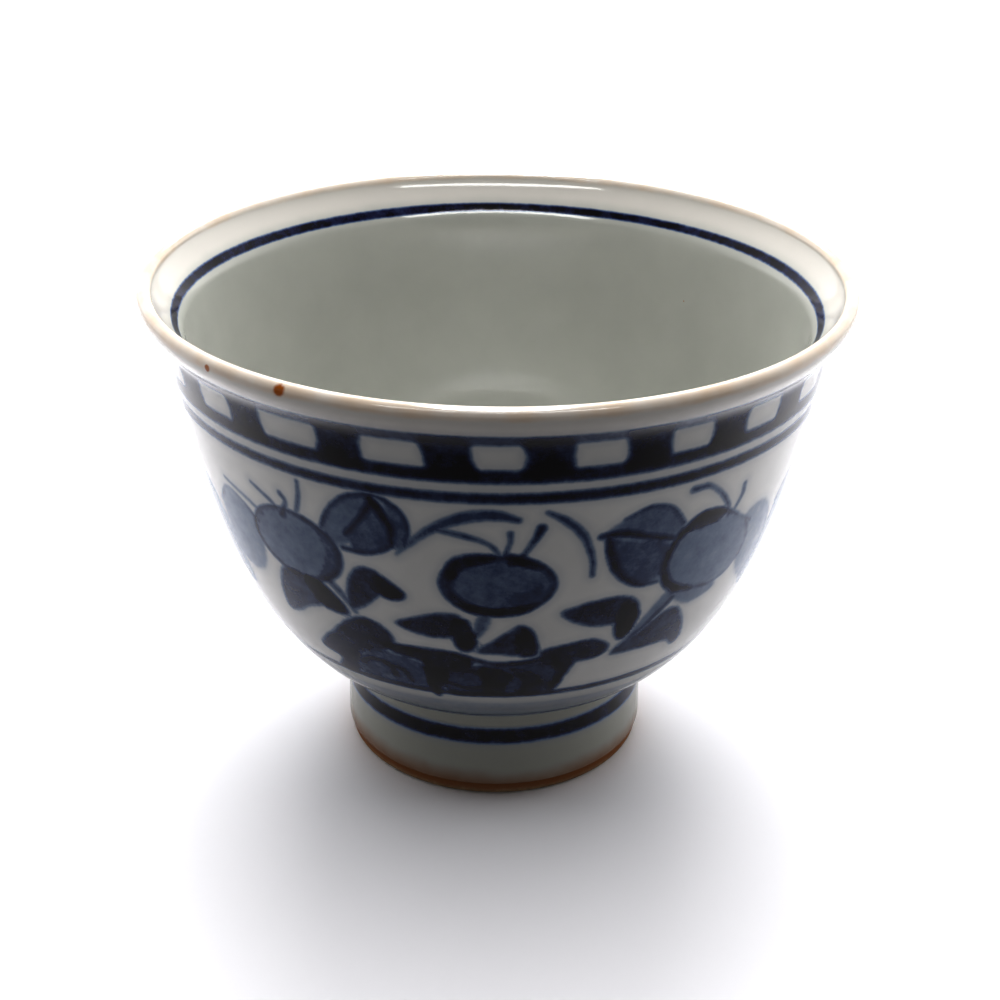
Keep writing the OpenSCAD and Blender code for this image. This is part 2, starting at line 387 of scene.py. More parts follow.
class Brush:
    """Cobalt brushed on a lathed wall.

    For the ground (broad touches) and the line (outlines, stalks and bands) it keeps, at every vertex,
    how many millimetres the vertex lies inside the painted edge and how heavy the cobalt is, from 0 to 1.
    """

    def __init__(self, path, turn, height, front, seed):
        steps = np.array(sorted(path.tolist(), key=lambda p: p[1])) / MM
        self.radius, self.rise = steps[:, 0], steps[:, 1] + np.arange(len(steps)) * 1e-9
        self.turn, self.height, self.front = turn, height, front
        self.layers = {name: (np.full(len(turn), -FAR), np.zeros(len(turn))) for name in ("ground", "line")}
        self.close = {name: np.full(len(turn), FAR) for name in ("edges", "lines")}
        self.shift = 0.0
        self.unsteady = 0.0
        self.rng = np.random.default_rng(seed)

    def scales(self, height):
        """Millimetres on the wall for one degree round, and for one millimetre up."""
        low, high = np.interp([height - 1, height + 1], self.rise, self.radius)
        return np.interp(height, self.rise, self.radius) * math.pi / 180, math.hypot(1, (high - low) / 2)

    def near(self, points):
        """Vertices close to some points, with both laid out flat in millimetres."""
        points = np.array(points, float)[:, :2]
        slip = self.rng.normal(size=2) * (0.6, 0.25) * self.unsteady
        middle = points.mean(0)
        across, up = self.scales(middle[1])
        flat = (points - middle) * (across, up)
        reach = np.abs(flat).max(0) + FAR
        round_by = wrapped(self.turn - middle[0] - slip[0] - self.shift) * across
        up_by = (self.height - middle[1] - slip[1]) * up
        chosen = np.flatnonzero(self.front & (np.abs(round_by) < reach[0]) & (np.abs(up_by) < reach[1]))
        return chosen, np.stack([round_by[chosen], up_by[chosen]], 1), flat

    def lay(self, layer, chosen, inside, cobalt):
        """Lays cobalt where inside (millimetres inside the touch's edge) allows, over what is there."""
        edge, weight = self.layers[layer]
        before, old = edge[chosen], weight[chosen]
        cover = soft_step(inside, -0.15, 0.15)
        over = old + (np.maximum(old, cobalt) - old) * cover
        weight[chosen] = np.where(before > 0, over, np.where(inside > before, cobalt, old))
        edge[chosen] = np.maximum(before, inside)

    def sharpen(self, kind, chosen, inside):
        """Notes how close each vertex lies to a painted edge, so that the mesh can be cut finer there."""
        self.close[kind][chosen] = np.minimum(self.close[kind][chosen], np.abs(inside))

    def touch(self, points, cobalt, heavy=None):
        """A broad touch of the brush, filling an outline. heavy = (angle, height, reach in mm) darkens it."""
        chosen, spots, flat = self.near(points)
        if not len(chosen):
            return
        middle = np.mean(np.array(points, float), 0)
        ring = eased(flat, closed=True)
        after = np.roll(ring, -1, axis=0)
        gap, _ = nearest(spots, ring, after)
        x, y = spots[:, :1], spots[:, 1:]
        crosses = (ring[:, 1] > y) != (after[:, 1] > y)
        slope = np.where(after[:, 1] == ring[:, 1], 1e-9, after[:, 1] - ring[:, 1])
        meets = x < (after[:, 0] - ring[:, 0]) * (y - ring[:, 1]) / slope + ring[:, 0]
        inside = np.where((crosses & meets).sum(1) % 2 == 1, 1, -1) * gap.min(1)
        weight = np.full(len(spots), float(cobalt))
        if heavy:
            across, up = self.scales(middle[1])
            focus = (np.array(heavy[:2]) - middle) * (across, up)
            close = 1 - soft_step(np.linalg.norm(spots - focus, axis=1), heavy[2] * 0.35, heavy[2])
            weight = weight + (1 - weight) * close
        self.lay("ground", chosen, inside, weight)
        self.sharpen("edges", chosen, inside)

    def stroke(self, points, widths, cobalt=0.85, closed=False, layer="line"):
        """A line drawn through points. widths, in mm, and cobalt are one number each or several along it."""
        chosen, spots, flat = self.near(points)
        if not len(chosen):
            return
        line = eased(flat, closed=closed)
        if closed:
            line = np.vstack([line, line[:1]])
        walk = np.linspace(0, 1, len(line))
        widths, cobalt = np.atleast_1d(widths), np.atleast_1d(cobalt)
        half = np.interp(walk, np.linspace(0, 1, len(widths)), widths) / 2
        weight = np.interp(walk, np.linspace(0, 1, len(cobalt)), cobalt)
        gap, along = nearest(spots, line[:-1], line[1:])
        depth = half[:-1] + (half[1:] - half[:-1]) * along - gap
        best = depth.argmax(1)
        rows = np.arange(len(spots))
        inside = depth[rows, best]
        heavy = weight[best] + (weight[best + 1] - weight[best]) * along[rows, best]
        self.lay(layer, chosen, inside, heavy)
        self.sharpen("edges", chosen, inside)
        self.sharpen("lines", chosen, inside)

    def band(self, height, width, cobalt, unsteady=0.1):
        """A line drawn all round while the cup turned: its height, width and weight waver a little."""
        turn = np.radians(self.turn)
        waver = [sum(self.rng.normal() * np.sin(n * turn + self.rng.uniform(0, math.tau)) / n
                     for n in (1, 2, 3, 5, 9)) for _ in range(3)]
        chosen = np.flatnonzero(self.front & (np.abs(self.height - height / MM) < width / MM / 2 + FAR))
        _, up = self.scales(height / MM)
        lie = (self.height - height / MM - 0.5 * unsteady * waver[0]) * up
        inside = width / MM / 2 * (1 + unsteady * waver[1]) - np.abs(lie)
        heavy = (cobalt * (1 + 0.5 * unsteady * waver[2])).clip(0, 1)
        self.lay("line", chosen, inside[chosen], heavy[chosen])

    def write(self, piece):
        """Keeps the brushwork on the piece's vertices, for its material to read."""
        for name, (edge, weight) in self.layers.items():
            kept = piece.data.attributes.new(name, "FLOAT_VECTOR", "POINT")
            kept.data.foreach_set("vector", np.stack([edge, weight, np.zeros(len(edge))], 1).ravel())


# Within these distances of a painted edge, in millimetres, the mesh is cut finer: once, and again at lines.
EDGE_REACH = 0.6
LINE_REACH = 0.15

# Places on the wall are (degrees round from the front, millimetres up), and widths are millimetres.


def fruit(brush, turn, height, across, tall, outline, wash):
    """A round fruit: a blue wash, with an outline that is heavy where the brush was pressed."""
    ring = [(turn + across * math.sin(a), height + tall * math.cos(a))
            for a in np.linspace(0, math.tau, 13)[:-1]]
    brush.touch(ring, wash)
    brush.stroke(ring, outline, 0.78, closed=True)


def centre_spray(brush):
    """The low fruit in the middle, with its stalks, tendrils and leaves."""
    fruit(brush, 0.8, 42.2, 9.2, 4.1, (0.8, 0.6, 0.7, 1.3, 1.6, 0.8), 0.5)
    brush.touch([(-8.5, 44), (-7, 46), (-3.5, 46.8), (0, 46.6), (-1, 45.6), (-5, 44.8), (-7, 43)], 0.92)
    brush.touch([(2, 46.8), (5, 46.4), (8, 45), (7, 44.4), (4, 45.2), (2, 45.4)], 0.9)
    brush.touch([(-7, 39.4), (-4, 38), (0, 37.6), (5, 38), (8, 39.6), (5, 39.4), (0, 38.8),
                 (-4, 39.4)], 0.92)
    brush.touch([(3, 41), (6, 41.5), (8, 42.5), (8, 40.5), (5, 39), (1, 39.2)], 0.62)
    brush.stroke([(-16.3, 45.8), (-14, 47.5), (-10, 50), (-5, 51.8), (0, 52.2), (3.5, 51.6)],
                 (0.3, 0.8, 1.1, 1.5, 1.4, 0.7), (0.5, 0.62, 0.7))
    brush.stroke([(-10, 50), (-5, 49.3), (-1, 48.2), (1, 46.4)], (0.6, 0.7, 0.5, 0.4), 0.62)
    brush.stroke([(2.3, 49.8), (2.3, 48.5), (1.4, 46.6)], (0.5, 0.35, 0.4), 0.7)
    brush.stroke([(7.2, 50.4), (6.4, 49), (4.5, 46.6)], (1.0, 0.7, 0.45), (0.85, 0.7))
    brush.stroke([(8, 52.5), (11, 51.2), (14, 49), (16, 45.5), (16.4, 43)], (0.4, 0.9, 0.95, 0.6, 0.5),
                 (0.6, 0.68, 0.72))
    brush.stroke([(-1.5, 38), (-2.4, 36), (-3.6, 34.2)], (1.3, 1.6, 1.0), 0.5, layer="ground")
    brush.touch([(-27, 36), (-27, 39), (-25, 42), (-22, 43), (-19, 41.8), (-18.5, 40), (-21, 38.8),
                 (-24, 36.8)], 0.8)
    brush.touch([(-22, 40), (-20.5, 42.3), (-18, 41.4), (-15.8, 40), (-16.5, 39), (-19, 38.8)], 1.0)
    brush.touch([(-18.3, 35), (-14, 36.6), (-9.5, 37.6), (-6, 37.3), (-5, 35), (-8, 33.8),
                 (-13, 33.7)], 0.86)
    brush.touch([(-7.6, 36.8), (-5, 36.8), (-3.6, 34.8), (-3.4, 32.6), (-5, 31.5), (-7, 32.2),
                 (-7.8, 34.6)], 1.0)
    brush.touch([(-3.5, 31.6), (0, 33.6), (3, 35.3), (5, 36), (5.4, 33), (5, 31), (1, 31.2)], 0.8)
    brush.touch([(4, 35.6), (6, 35.7), (7.6, 33.8), (8.2, 31.2), (6.2, 30.6), (4.2, 31.4)], 1.0)
    brush.touch([(11.8, 37.5), (15, 38.5), (20, 39), (24.5, 38.6), (27, 36.6), (25, 35), (21, 34.6),
                 (16, 35.4)], 0.85)
    brush.touch([(23, 37), (26, 37.4), (27.4, 35.4), (26.8, 32.8), (24.8, 31.5), (22.8, 33.4)], 1.0)
    brush.touch([(9, 31.4), (14, 32.3), (19, 32.5), (22.4, 31), (21.5, 29.4), (16, 28.8), (10, 29)],
                0.86)
    brush.touch([(23.5, 29.2), (28, 31.6), (33, 34.2), (36, 34.6), (39, 32.4), (41.8, 28.2),
                 (40.5, 27), (37, 28.5), (30, 28.8)], 0.72)
    brush.stroke([(23.8, 29.6), (28.7, 33.1), (33, 36.6)], (0.6, 1.6, 2.4), 0.42, layer="ground")
    brush.stroke([(24.4, 29.6), (29.4, 32.8), (34.4, 36.4)], (0.3, 0.5, 0.4), 0.6)


def rock(brush):
    """The rock on the ground line: a dark mass, with paler hollows and heavy bars where cobalt has run."""
    brush.touch([(-39, 27), (-33, 31), (-28, 34), (-24, 34.8), (-20.5, 33.6), (-19.5, 31.6),
                 (-22, 29.6),
                 (-27, 28.6), (-30, 26), (-32, 23), (-37, 23.2), (-35, 25.5)], 0.84)
    brush.touch([(-24, 31.6), (-19, 31.4), (-10, 31.4), (-5, 30.6), (-4.6, 28.6), (-9, 28.2),
                 (-14, 28.8), (-20, 29.6)], 0.97)
    brush.touch([(-30, 27.5), (-24, 29.6), (-15, 28.8), (-13, 26), (-14, 23.2), (-24, 23), (-31, 23)],
                0.56)
    brush.touch([(-14.2, 30), (-10, 30.4), (-9.6, 26), (-11.6, 23), (-12.4, 21.9), (-13.4, 22.2),
                 (-14.4, 25)], 1.0)
    brush.touch([(-10, 28.6), (-4, 29), (4, 29.6), (12, 30.4), (15.5, 28), (13.5, 25), (12, 22.9),
                 (0, 22.9), (-10, 22.9)], 0.7)
    brush.touch([(-3, 28.4), (1, 28.4), (4, 27), (2.6, 25), (1.5, 23), (-2, 23), (-2.6, 25.6)], 1.0)
    brush.touch([(3, 28.6), (8, 27.6), (10.4, 25), (9.5, 23), (4.5, 23.4), (6, 25.4)], 0.93)
    brush.touch([(10.6, 30.4), (13, 30.8), (16, 29), (14.6, 26.6), (13.6, 24), (11.4, 23.6),
                 (12.4, 27)], 0.93)
    brush.stroke([(-4.6, 30.2), (0, 29.4), (6, 29.6), (11, 30.6)], (0.7, 0.9, 0.8), 0.82)
    brush.stroke([(-29, 26.2), (-26, 27.4), (-22, 27), (-21.4, 25)], (0.6, 0.9, 0.8), 0.93)
    brush.stroke([(-22.6, 27), (-19, 26.4), (-18, 24.4)], (0.9, 0.8, 0.6), 0.97)
    brush.stroke([(-9.4, 25.2), (-6, 24.4), (-2.6, 24.6)], (0.5, 0.8, 0.9), 0.9)
    brush.stroke([(-9.5, 27.8), (-6, 28), (-3, 27.6)], (0.6, 0.8, 0.8), 0.9)


def left_spray(brush):
    """The spray on the left: a broad fruit before a folded leaf, with dark leaves under it."""
    brush.touch([(-29.6, 47.6), (-27.5, 50.4), (-24, 52.6), (-20, 53.4), (-18.6, 51), (-21, 48),
                 (-25, 46), (-28.5, 45.6)], 0.4)
    brush.touch([(-24.6, 47.4), (-21.5, 50.4), (-19, 52.8), (-16.6, 50), (-16.6, 47.4), (-19.5, 45.6),
                 (-23.5, 45)], 0.52)
    brush.touch([(-17.6, 53), (-15.4, 52), (-14, 49.6), (-14.6, 47.4), (-16.4, 46.6), (-16.8, 49.6)],
                0.5)
    brush.stroke([(-29.8, 47.4), (-27.6, 50.4), (-24, 52.7), (-20, 53.5), (-17.4, 53.2)],
                 (0.4, 0.5, 0.6, 0.5), 0.76)
    brush.stroke([(-17.4, 53.2), (-15, 51.8), (-14, 49.4), (-14.8, 47.2)], (0.4, 0.5, 0.4), 0.74)
    brush.stroke([(-19.8, 53), (-18, 51), (-16.8, 49), (-17, 46.8)], (1.1, 1.2, 0.9, 0.5), 0.97)
    brush.stroke([(-25, 47.4), (-22, 50), (-19.6, 52.6)], (0.5, 0.6, 1.0), 0.86)
    brush.stroke([(-26, 45.2), (-22, 45.2), (-18.6, 46), (-17, 47)], (0.7, 0.4, 0.5), 0.78)
    fruit(brush, -36.8, 43.4, 9.6, 4.8, (0.5, 0.9, 0.8, 0.4, 0.35, 0.4), 0.4)
    brush.touch([(-31, 46.6), (-28.4, 45), (-27.4, 42.6), (-29.4, 40.4), (-33, 39), (-31, 41.6),
                 (-30, 44)], 0.58)
    brush.touch([(-45, 31.6), (-44.5, 35), (-42, 38.6), (-38, 39.2), (-35, 38), (-34, 35), (-38, 33.6),
                 (-41.5, 32)], 0.66)
    brush.touch([(-36.6, 38.8), (-33, 38.9), (-29.6, 37), (-27.8, 35.2), (-29, 34.4), (-33, 34.6),
                 (-35.6, 36)], 0.97)
    brush.touch([(-58, 37), (-58, 43.6), (-54, 46.6), (-49.6, 46.2), (-45.6, 44.6), (-45.6, 41),
                 (-48, 37), (-53, 35.4)], 0.34)
    brush.stroke([(-58, 44), (-54, 46.9), (-49.4, 46.4), (-45.6, 44.6)], (0.3, 0.5, 0.5), 0.5)
    brush.stroke([(-53.5, 48.4), (-48, 47.4), (-43.6, 46.2)], (0.3, 0.5, 0.4), 0.5)
    brush.stroke([(-33, 53), (-33.4, 50.8), (-34.6, 48.4)], (0.4, 0.5, 0.5), 0.6)
    brush.stroke([(-37.5, 50.4), (-36.6, 49.4), (-38, 47.4)], (0.6, 0.5, 0.9), (0.6, 0.8))
    brush.stroke([(-44.5, 50.2), (-40.5, 48.8), (-38.2, 47.4)], (0.3, 0.5, 0.4), 0.55)
    brush.stroke([(-31.4, 40), (-28.6, 38), (-26.4, 35.4)], (1.0, 1.1, 0.6), 0.5, layer="ground")


def right_spray(brush):
    """The spray on the right: a broad fruit with a heavy outline, before a leaf of two lobes."""
    brush.touch([(18, 48.6), (21, 50.4), (25, 51.4), (29, 50.8), (32, 48.6), (33, 46), (29, 46),
                 (23, 47.4)], 0.44)
    brush.touch([(18.6, 47.8), (23, 47.2), (29, 46.2), (31, 44), (30, 41), (26, 40.2), (22, 42),
                 (19.6, 44.8)], 0.56)
    brush.stroke([(17.2, 48.4), (21, 48.4), (26, 47.2), (31.4, 46)], (0.8, 1.0, 0.8, 0.5), 0.9)
    brush.stroke([(18.4, 48.2), (19.6, 45), (21.6, 42.4), (25.4, 40.3), (29.6, 40)],
                 (0.9, 1.2, 1.1, 0.6, 0.4), (0.93, 0.9, 0.75))
    brush.stroke([(21, 50.4), (25.4, 51.5), (29.4, 50.6), (32.4, 48)], (0.3, 0.4, 0.4), 0.62)
    brush.touch([(48.6, 45), (54, 46), (58.6, 43.4), (62, 38), (62.6, 33), (60, 31.4), (55, 34),
                 (50.6, 38)], 0.3)
    brush.touch([(30.6, 41.4), (31.2, 45), (34, 47.6), (41.4, 47.2), (48.6, 44.4),
                 (51.4, 40.4), (48.6, 37.2), (41.4, 36.6), (34.4, 38)], 0.36)
    brush.stroke([(46, 46), (41.4, 47.6), (36, 48), (32, 46), (30.4, 43), (31, 40.2), (34, 38),
                  (38.6, 37)],
                 (0.4, 0.8, 1.3, 1.1, 0.9, 1.2, 1.3, 0.6), (0.6, 0.85, 0.9, 0.86, 0.9, 0.97, 0.97, 0.7))
    brush.stroke([(38.6, 37), (44, 36.4), (48.8, 37.2), (51.6, 40.4), (49.6, 44), (46, 46)],
                 (0.5, 0.35, 0.35), 0.5)
    brush.touch([(33, 46.6), (36, 48.4), (40, 48.4), (42.4, 47.2), (40, 46.4), (36, 46.2)], 0.84)
    brush.touch([(34, 36.6), (38, 37.2), (44, 36.6), (46, 35.4), (42, 34.4), (38, 34.6)], 0.34)
    brush.stroke([(33, 52.4), (36.4, 52.2), (40, 50.2), (42, 48.4), (43, 46.8)],
                 (0.9, 0.5, 0.6, 0.6), 0.62)
    brush.stroke([(45.4, 50.4), (45.4, 48.8), (44, 46.8)], (0.6, 0.5, 0.4), 0.6)
    brush.stroke([(44.8, 46.4), (48, 45), (51, 43.8)], (0.5, 0.45, 0.3), 0.5)


SQUARES = 23
FRONT_SQUARES = (-42, -24, -7, 7.5, 23, 38)


def squares(brush, paint):
    """The chequer of dark squares between its two lines. Those in front stand where the hand put them."""
    first, last = FRONT_SQUARES[0], FRONT_SQUARES[-1]
    count = SQUARES - len(FRONT_SQUARES)
    gap = (360 - last + first) / (count + 1)
    others = tuple(last + gap * (i + 1) for i in range(count))
    low = paint.band_line / MM - 0.2
    high = paint.lip_line / MM + 0.2
    for turn in FRONT_SQUARES + others:
        lean, bow = brush.rng.normal(size=2) * (0.35, 0.3)
        top, bottom = turn + lean, turn - lean
        brush.touch([(top - 3.6, high), (turn - 3.4 + bow, (low + high) / 2), (bottom - 3.7, low),
                     (bottom, low - 0.1), (bottom + 3.7, low), (turn + 3.5 + bow, (low + high) / 2),
                     (top + 3.6, high), (top, high + 0.1)], 0.8, heavy=(bottom, low, 4))


# ---------------------------------------------------------------- materials

# Settings that several nodes share. A Mix node's colour inputs are 6 and 7, and its colour output is 2;
# a Map Range node's inputs 1 to 4 are the range it takes in and the range it gives.
PER_MM = 1 / MM
TIMES = {"operation": "MULTIPLY"}
PLUS = {"operation": "ADD"}
TIMES_PLUS = {"operation": "MULTIPLY_ADD"}
SMOOTH = {"interpolation_type": "SMOOTHSTEP"}
BLENDED = {"data_type": "RGBA"}
BLENDED_OUT = 2


def material(name):
    """A new material with its node tree, and the shader that gives its surface."""
    made = bpy.data.materials.new(name)
    made.use_nodes = True
    return made, made.node_tree, made.node_tree.nodes["Principled BSDF"]


def add(tree, kind, settings=None, inputs=None, out=0, stops=()):
    """Adds a node with its settings, its links or values and any colour stops. Gives the named output."""
    made = tree.nodes.new(kind)
    for name, value in (settings or {}).items():
        setattr(made, name, value)
    for name, value in (inputs or {}).items():
        if isinstance(value, bpy.types.NodeSocket):
            tree.links.new(value, made.inputs[name])
        else:
            made.inputs[name].default_value = value
    for number, (place, tint) in enumerate(stops):
        stop = made.color_ramp.elements[number] if number < 2 else made.color_ramp.elements.new(place)
        stop.position = place
        stop.color = tint
    return made.outputs[out]


def darker(tint, share):
    """A colour darkened to a share of itself, or to a share for each channel."""
    return tuple(np.array(tint[:3]) * share) + (1.0,)


def brushed(tree, layer, softness, wobble):
    """How much cobalt a layer of brushwork leaves, and how far inside its ragged edge a place lies."""
    coords = add(tree, "ShaderNodeTexCoord", out="Object")
    kept = add(tree, "ShaderNodeAttribute", {"attribute_name": layer}, out="Vector")
    parts = add(tree, "ShaderNodeSeparateXYZ", None, {0: kept}).node.outputs
    hairs = add(tree, "ShaderNodeTexNoise", None, {
        "Vector": coords, "Scale": PER_MM / 1.1, "Detail": 3.0, "Roughness": 0.6})
    ragged = add(tree, "ShaderNodeMath", TIMES_PLUS, {0: hairs, 1: wobble, 2: -wobble / 2})
    edge = add(tree, "ShaderNodeMath", PLUS, {0: parts["X"], 1: ragged})
    cover = add(tree, "ShaderNodeMapRange", SMOOTH, {0: edge, 1: -softness, 2: softness})
    clots = add(tree, "ShaderNodeTexNoise", None, {
        "Vector": coords, "Scale": PER_MM / 2.2, "Detail": 4.0, "Roughness": 0.65})
    mottle = add(tree, "ShaderNodeMath", TIMES_PLUS, {0: clots, 1: 1.0, 2: 0.48})
    weight = add(tree, "ShaderNodeMath", TIMES, {0: parts["Y"], 1: mottle})
    return add(tree, "ShaderNodeMath", TIMES, {0: cover, 1: weight}), edge


def gloss(tree, shader, roughness, rippled=0.12):
    """Fired glaze: a still, glassy surface with a faint orange peel and finer ripples on it."""
    coords = add(tree, "ShaderNodeTexCoord", out="Object")
    peel = add(tree, "ShaderNodeTexNoise", None, {"Vector": coords, "Scale": PER_MM / 3.2, "Detail": 1.0})
    ripple = add(tree, "ShaderNodeTexNoise", None, {"Vector": coords, "Scale": PER_MM / 0.7})
    height = add(tree, "ShaderNodeMath", TIMES_PLUS, {0: ripple, 1: rippled, 2: peel})
    bump = add(tree, "ShaderNodeBump", None, {"Height": height, "Strength": 0.35, "Distance": 0.03 * MM})
    tree.links.new(bump, shader.inputs["Normal"])
    blots = add(tree, "ShaderNodeTexNoise", None, {"Vector": coords, "Scale": PER_MM / 5.0})
    uneven = add(tree, "ShaderNodeMath", TIMES_PLUS, {0: blots, 1: 0.05, 2: roughness})
    tree.links.new(uneven, shader.inputs["Roughness"])
    shader.inputs["IOR"].default_value = 1.5


# The tan of the thinnest glaze on the lip, as a share of the lip's own colour in each channel.
THIN_LIP = (0.95, 0.86, 0.77)


def glazed(tree, colours, body_tint, near_lip, lip_at):
    """The glaze under the cobalt: clouds, specks of iron, a grey-green painted shade low on the cup and tan
    where it ran thin.
    """
    coords = add(tree, "ShaderNodeTexCoord", out="Object")
    height = add(tree, "ShaderNodeSeparateXYZ", None, {0: coords}, "Z")
    mist = add(tree, "ShaderNodeTexNoise", None, {"Vector": coords, "Scale": PER_MM / 9.0, "Detail": 3.0})
    clouds = add(tree, "ShaderNodeValToRGB", None, {"Fac": mist}, stops=[
        (0.3, darker(body_tint, 0.93)), (0.7, tuple(body_tint))])
    cells = add(tree, "ShaderNodeTexVoronoi", None, {"Vector": coords, "Scale": PER_MM / 4.5}).node.outputs
    chance = add(tree, "ShaderNodeSeparateColor", None, {0: cells["Color"]})
    rare = add(tree, "ShaderNodeMapRange", SMOOTH, {0: chance, 1: 0.86, 2: 1.0})
    size = add(tree, "ShaderNodeMath", TIMES, {0: rare, 1: 0.035})
    speck = add(tree, "ShaderNodeMath", {"operation": "LESS_THAN"}, {0: cells["Distance"], 1: size})
    faint = add(tree, "ShaderNodeMath", TIMES, {0: speck, 1: 0.6})
    base = add(tree, "ShaderNodeMix", BLENDED, {0: faint, 6: clouds, 7: tuple(colours.iron)}, BLENDED_OUT)
    waves = add(tree, "ShaderNodeTexNoise", None, {"Vector": coords, "Scale": PER_MM / 4.0, "Detail": 3.0})
    drift = add(tree, "ShaderNodeMath", TIMES_PLUS, {0: waves, 1: 0.7 * MM, 2: -0.35 * MM})
    risen = add(tree, "ShaderNodeMath", PLUS, {0: height, 1: drift})
    paler = add(tree, "ShaderNodeMapRange", SMOOTH, {
        0: risen, 1: lip_at - 3.6 * MM, 2: lip_at - 2.0 * MM, 4: 0.75})
    base = add(tree, "ShaderNodeMix", BLENDED, {0: paler, 6: base, 7: tuple(near_lip)}, BLENDED_OUT)
    # Painted shade: from 25 mm down to 15 mm every coat darkens to the grey-green foot colour, low outside,
    # deep inside the cup and in the foot well.
    foot_glaze = add(tree, "ShaderNodeMapRange", SMOOTH, {0: height, 1: 15 * MM, 2: 25 * MM, 3: 0.85, 4: 0.0})
    base = add(tree, "ShaderNodeMix", BLENDED, {0: foot_glaze, 6: base, 7: tuple(colours.foot_glaze)}, BLENDED_OUT)
    runs = add(tree, "ShaderNodeTexNoise", None, {"Vector": coords, "Scale": PER_MM / 7.0, "Detail": 3.0})
    tide = add(tree, "ShaderNodeMath", TIMES_PLUS, {0: runs, 1: 2.4 * MM, 2: height})
    toasted = add(tree, "ShaderNodeMapRange", SMOOTH, {0: tide, 1: 2.6 * MM, 2: 6.0 * MM, 3: 0.85, 4: 0.0})
    base = add(tree, "ShaderNodeMix", BLENDED, {0: toasted, 6: base, 7: tuple(colours.toast)}, BLENDED_OUT)
    patches = add(tree, "ShaderNodeTexNoise", None, {
        "Vector": coords, "Scale": PER_MM / 5.0, "Detail": 3.0, "Roughness": 0.55})
    lip = add(tree, "ShaderNodeValToRGB", None, {"Fac": patches}, stops=[
        (0.3, darker(colours.lip, THIN_LIP)), (0.62, tuple(colours.lip))])
    thin = add(tree, "ShaderNodeMapRange", SMOOTH, {
        0: risen, 1: lip_at - 0.35 * MM, 2: lip_at + 0.25 * MM})
    return add(tree, "ShaderNodeMix", BLENDED, {0: thin, 6: base, 7: lip}, BLENDED_OUT)


def on_wall(turn, height, radius):
    """A point at an angle round from the front, a height and a radius, all in degrees and metres."""
    a = math.radians(turn)
    return (radius * math.sin(a), -radius * math.cos(a), height)


def spotted(tree, tint, colours, spots):
    """Iron spots in the glaze: each is a place and a radius."""
    coords = add(tree, "ShaderNodeTexCoord", out="Object")
    fray = add(tree, "ShaderNodeTexNoise", None, {"Vector": coords, "Scale": PER_MM / 0.9})
    for place, radius in spots:
        far = add(tree, "ShaderNodeVectorMath", {"operation": "DISTANCE"}, {0: coords, 1: place}, "Value")
        ragged = add(tree, "ShaderNodeMath", TIMES_PLUS, {0: fray, 1: 0.8 * radius, 2: far})
        cover = add(tree, "ShaderNodeMapRange", SMOOTH, {
            0: ragged, 1: radius, 2: radius * 1.6, 3: 1.0, 4: 0.0})
        tint = add(tree, "ShaderNodeMix", BLENDED, {0: cover, 6: tint, 7: tuple(colours.iron)}, BLENDED_OUT)
    return tint


def cobalt_over(tree, ground_colour, colours, density):
    """Cobalt over a ground colour: it tints, then goes wash blue, deep blue and at last brown-black."""
    tint = add(tree, "ShaderNodeValToRGB", None, {"Fac": density}, stops=[
        (0.32, tuple(colours.wash)), (0.56, tuple(colours.mid)),
        (0.8, tuple(colours.dark)), (0.97, tuple(colours.burnt))])
    cover = add(tree, "ShaderNodeMapRange", SMOOTH, {0: density, 1: 0.0, 2: 0.34})
    return add(tree, "ShaderNodeMix", BLENDED, {0: cover, 6: ground_colour, 7: tint}, BLENDED_OUT)


def painted_porcelain(sizes, paint, colours):
    """Grey-white porcelain, brushed with cobalt and dipped in clear glaze: soft blue under a wet gloss."""
    made, tree, shader = material("cobalt_brushed_glazed_porcelain")
    softness = paint.softness / MM
    ground, ground_edge = brushed(tree, "ground", softness, 0.22)
    line, line_edge = brushed(tree, "line", softness * 0.9, 0.12)
    shared = add(tree, "ShaderNodeMath", TIMES, {0: ground, 1: line})
    laid = add(tree, "ShaderNodeMath", PLUS, {0: ground, 1: line})
    both = add(tree, "ShaderNodeMath", {"operation": "SUBTRACT"}, {0: laid, 1: shared})
    edge = add(tree, "ShaderNodeMath", {"operation": "MAXIMUM"}, {0: ground_edge, 1: line_edge})
    halo = add(tree, "ShaderNodeMapRange", SMOOTH, {0: edge, 1: -1.6, 2: 0.2, 4: 0.25})
    base = glazed(tree, colours, colours.glaze, colours.near_lip, sizes.cup_h - 1.2 * MM)
    tinted = add(tree, "ShaderNodeMix", BLENDED, {0: halo, 6: base, 7: tuple(colours.wash)}, BLENDED_OUT)
    lip_r = sizes.rim_r - 0.1 * MM
    tinted = spotted(tree, tinted, colours, [
        (on_wall(-31, sizes.cup_h - 0.75 * MM, lip_r), 0.75 * MM),
        (on_wall(-45, sizes.cup_h - 1.0 * MM, lip_r), 0.45 * MM),
        (on_wall(152, sizes.cup_h - 0.8 * MM, lip_r), 0.5 * MM)])
    tree.links.new(cobalt_over(tree, tinted, colours, both), shader.inputs["Base Color"])
    gloss(tree, shader, 0.05)
    return made


def inside_porcelain(sizes, colours):
    """The same glaze inside the cup, drawn darker and greener than outside: partly a grey-green tint, partly
    painted shade inside the cup, paler towards the lip, and a little rippled.
    """
    made, tree, shader = material("grey_green_glaze_with_painted_shade")
    line, _ = brushed(tree, "line", 0.3, 0.12)
    # The darker inside colour is partly painted shade; it turns paler towards the lip.
    base = glazed(tree, colours, colours.inside, colours.near_lip, sizes.cup_h - 0.75 * MM)
    tree.links.new(cobalt_over(tree, base, colours, line), shader.inputs["Base Color"])
    gloss(tree, shader, 0.07, 0.45)
    return made


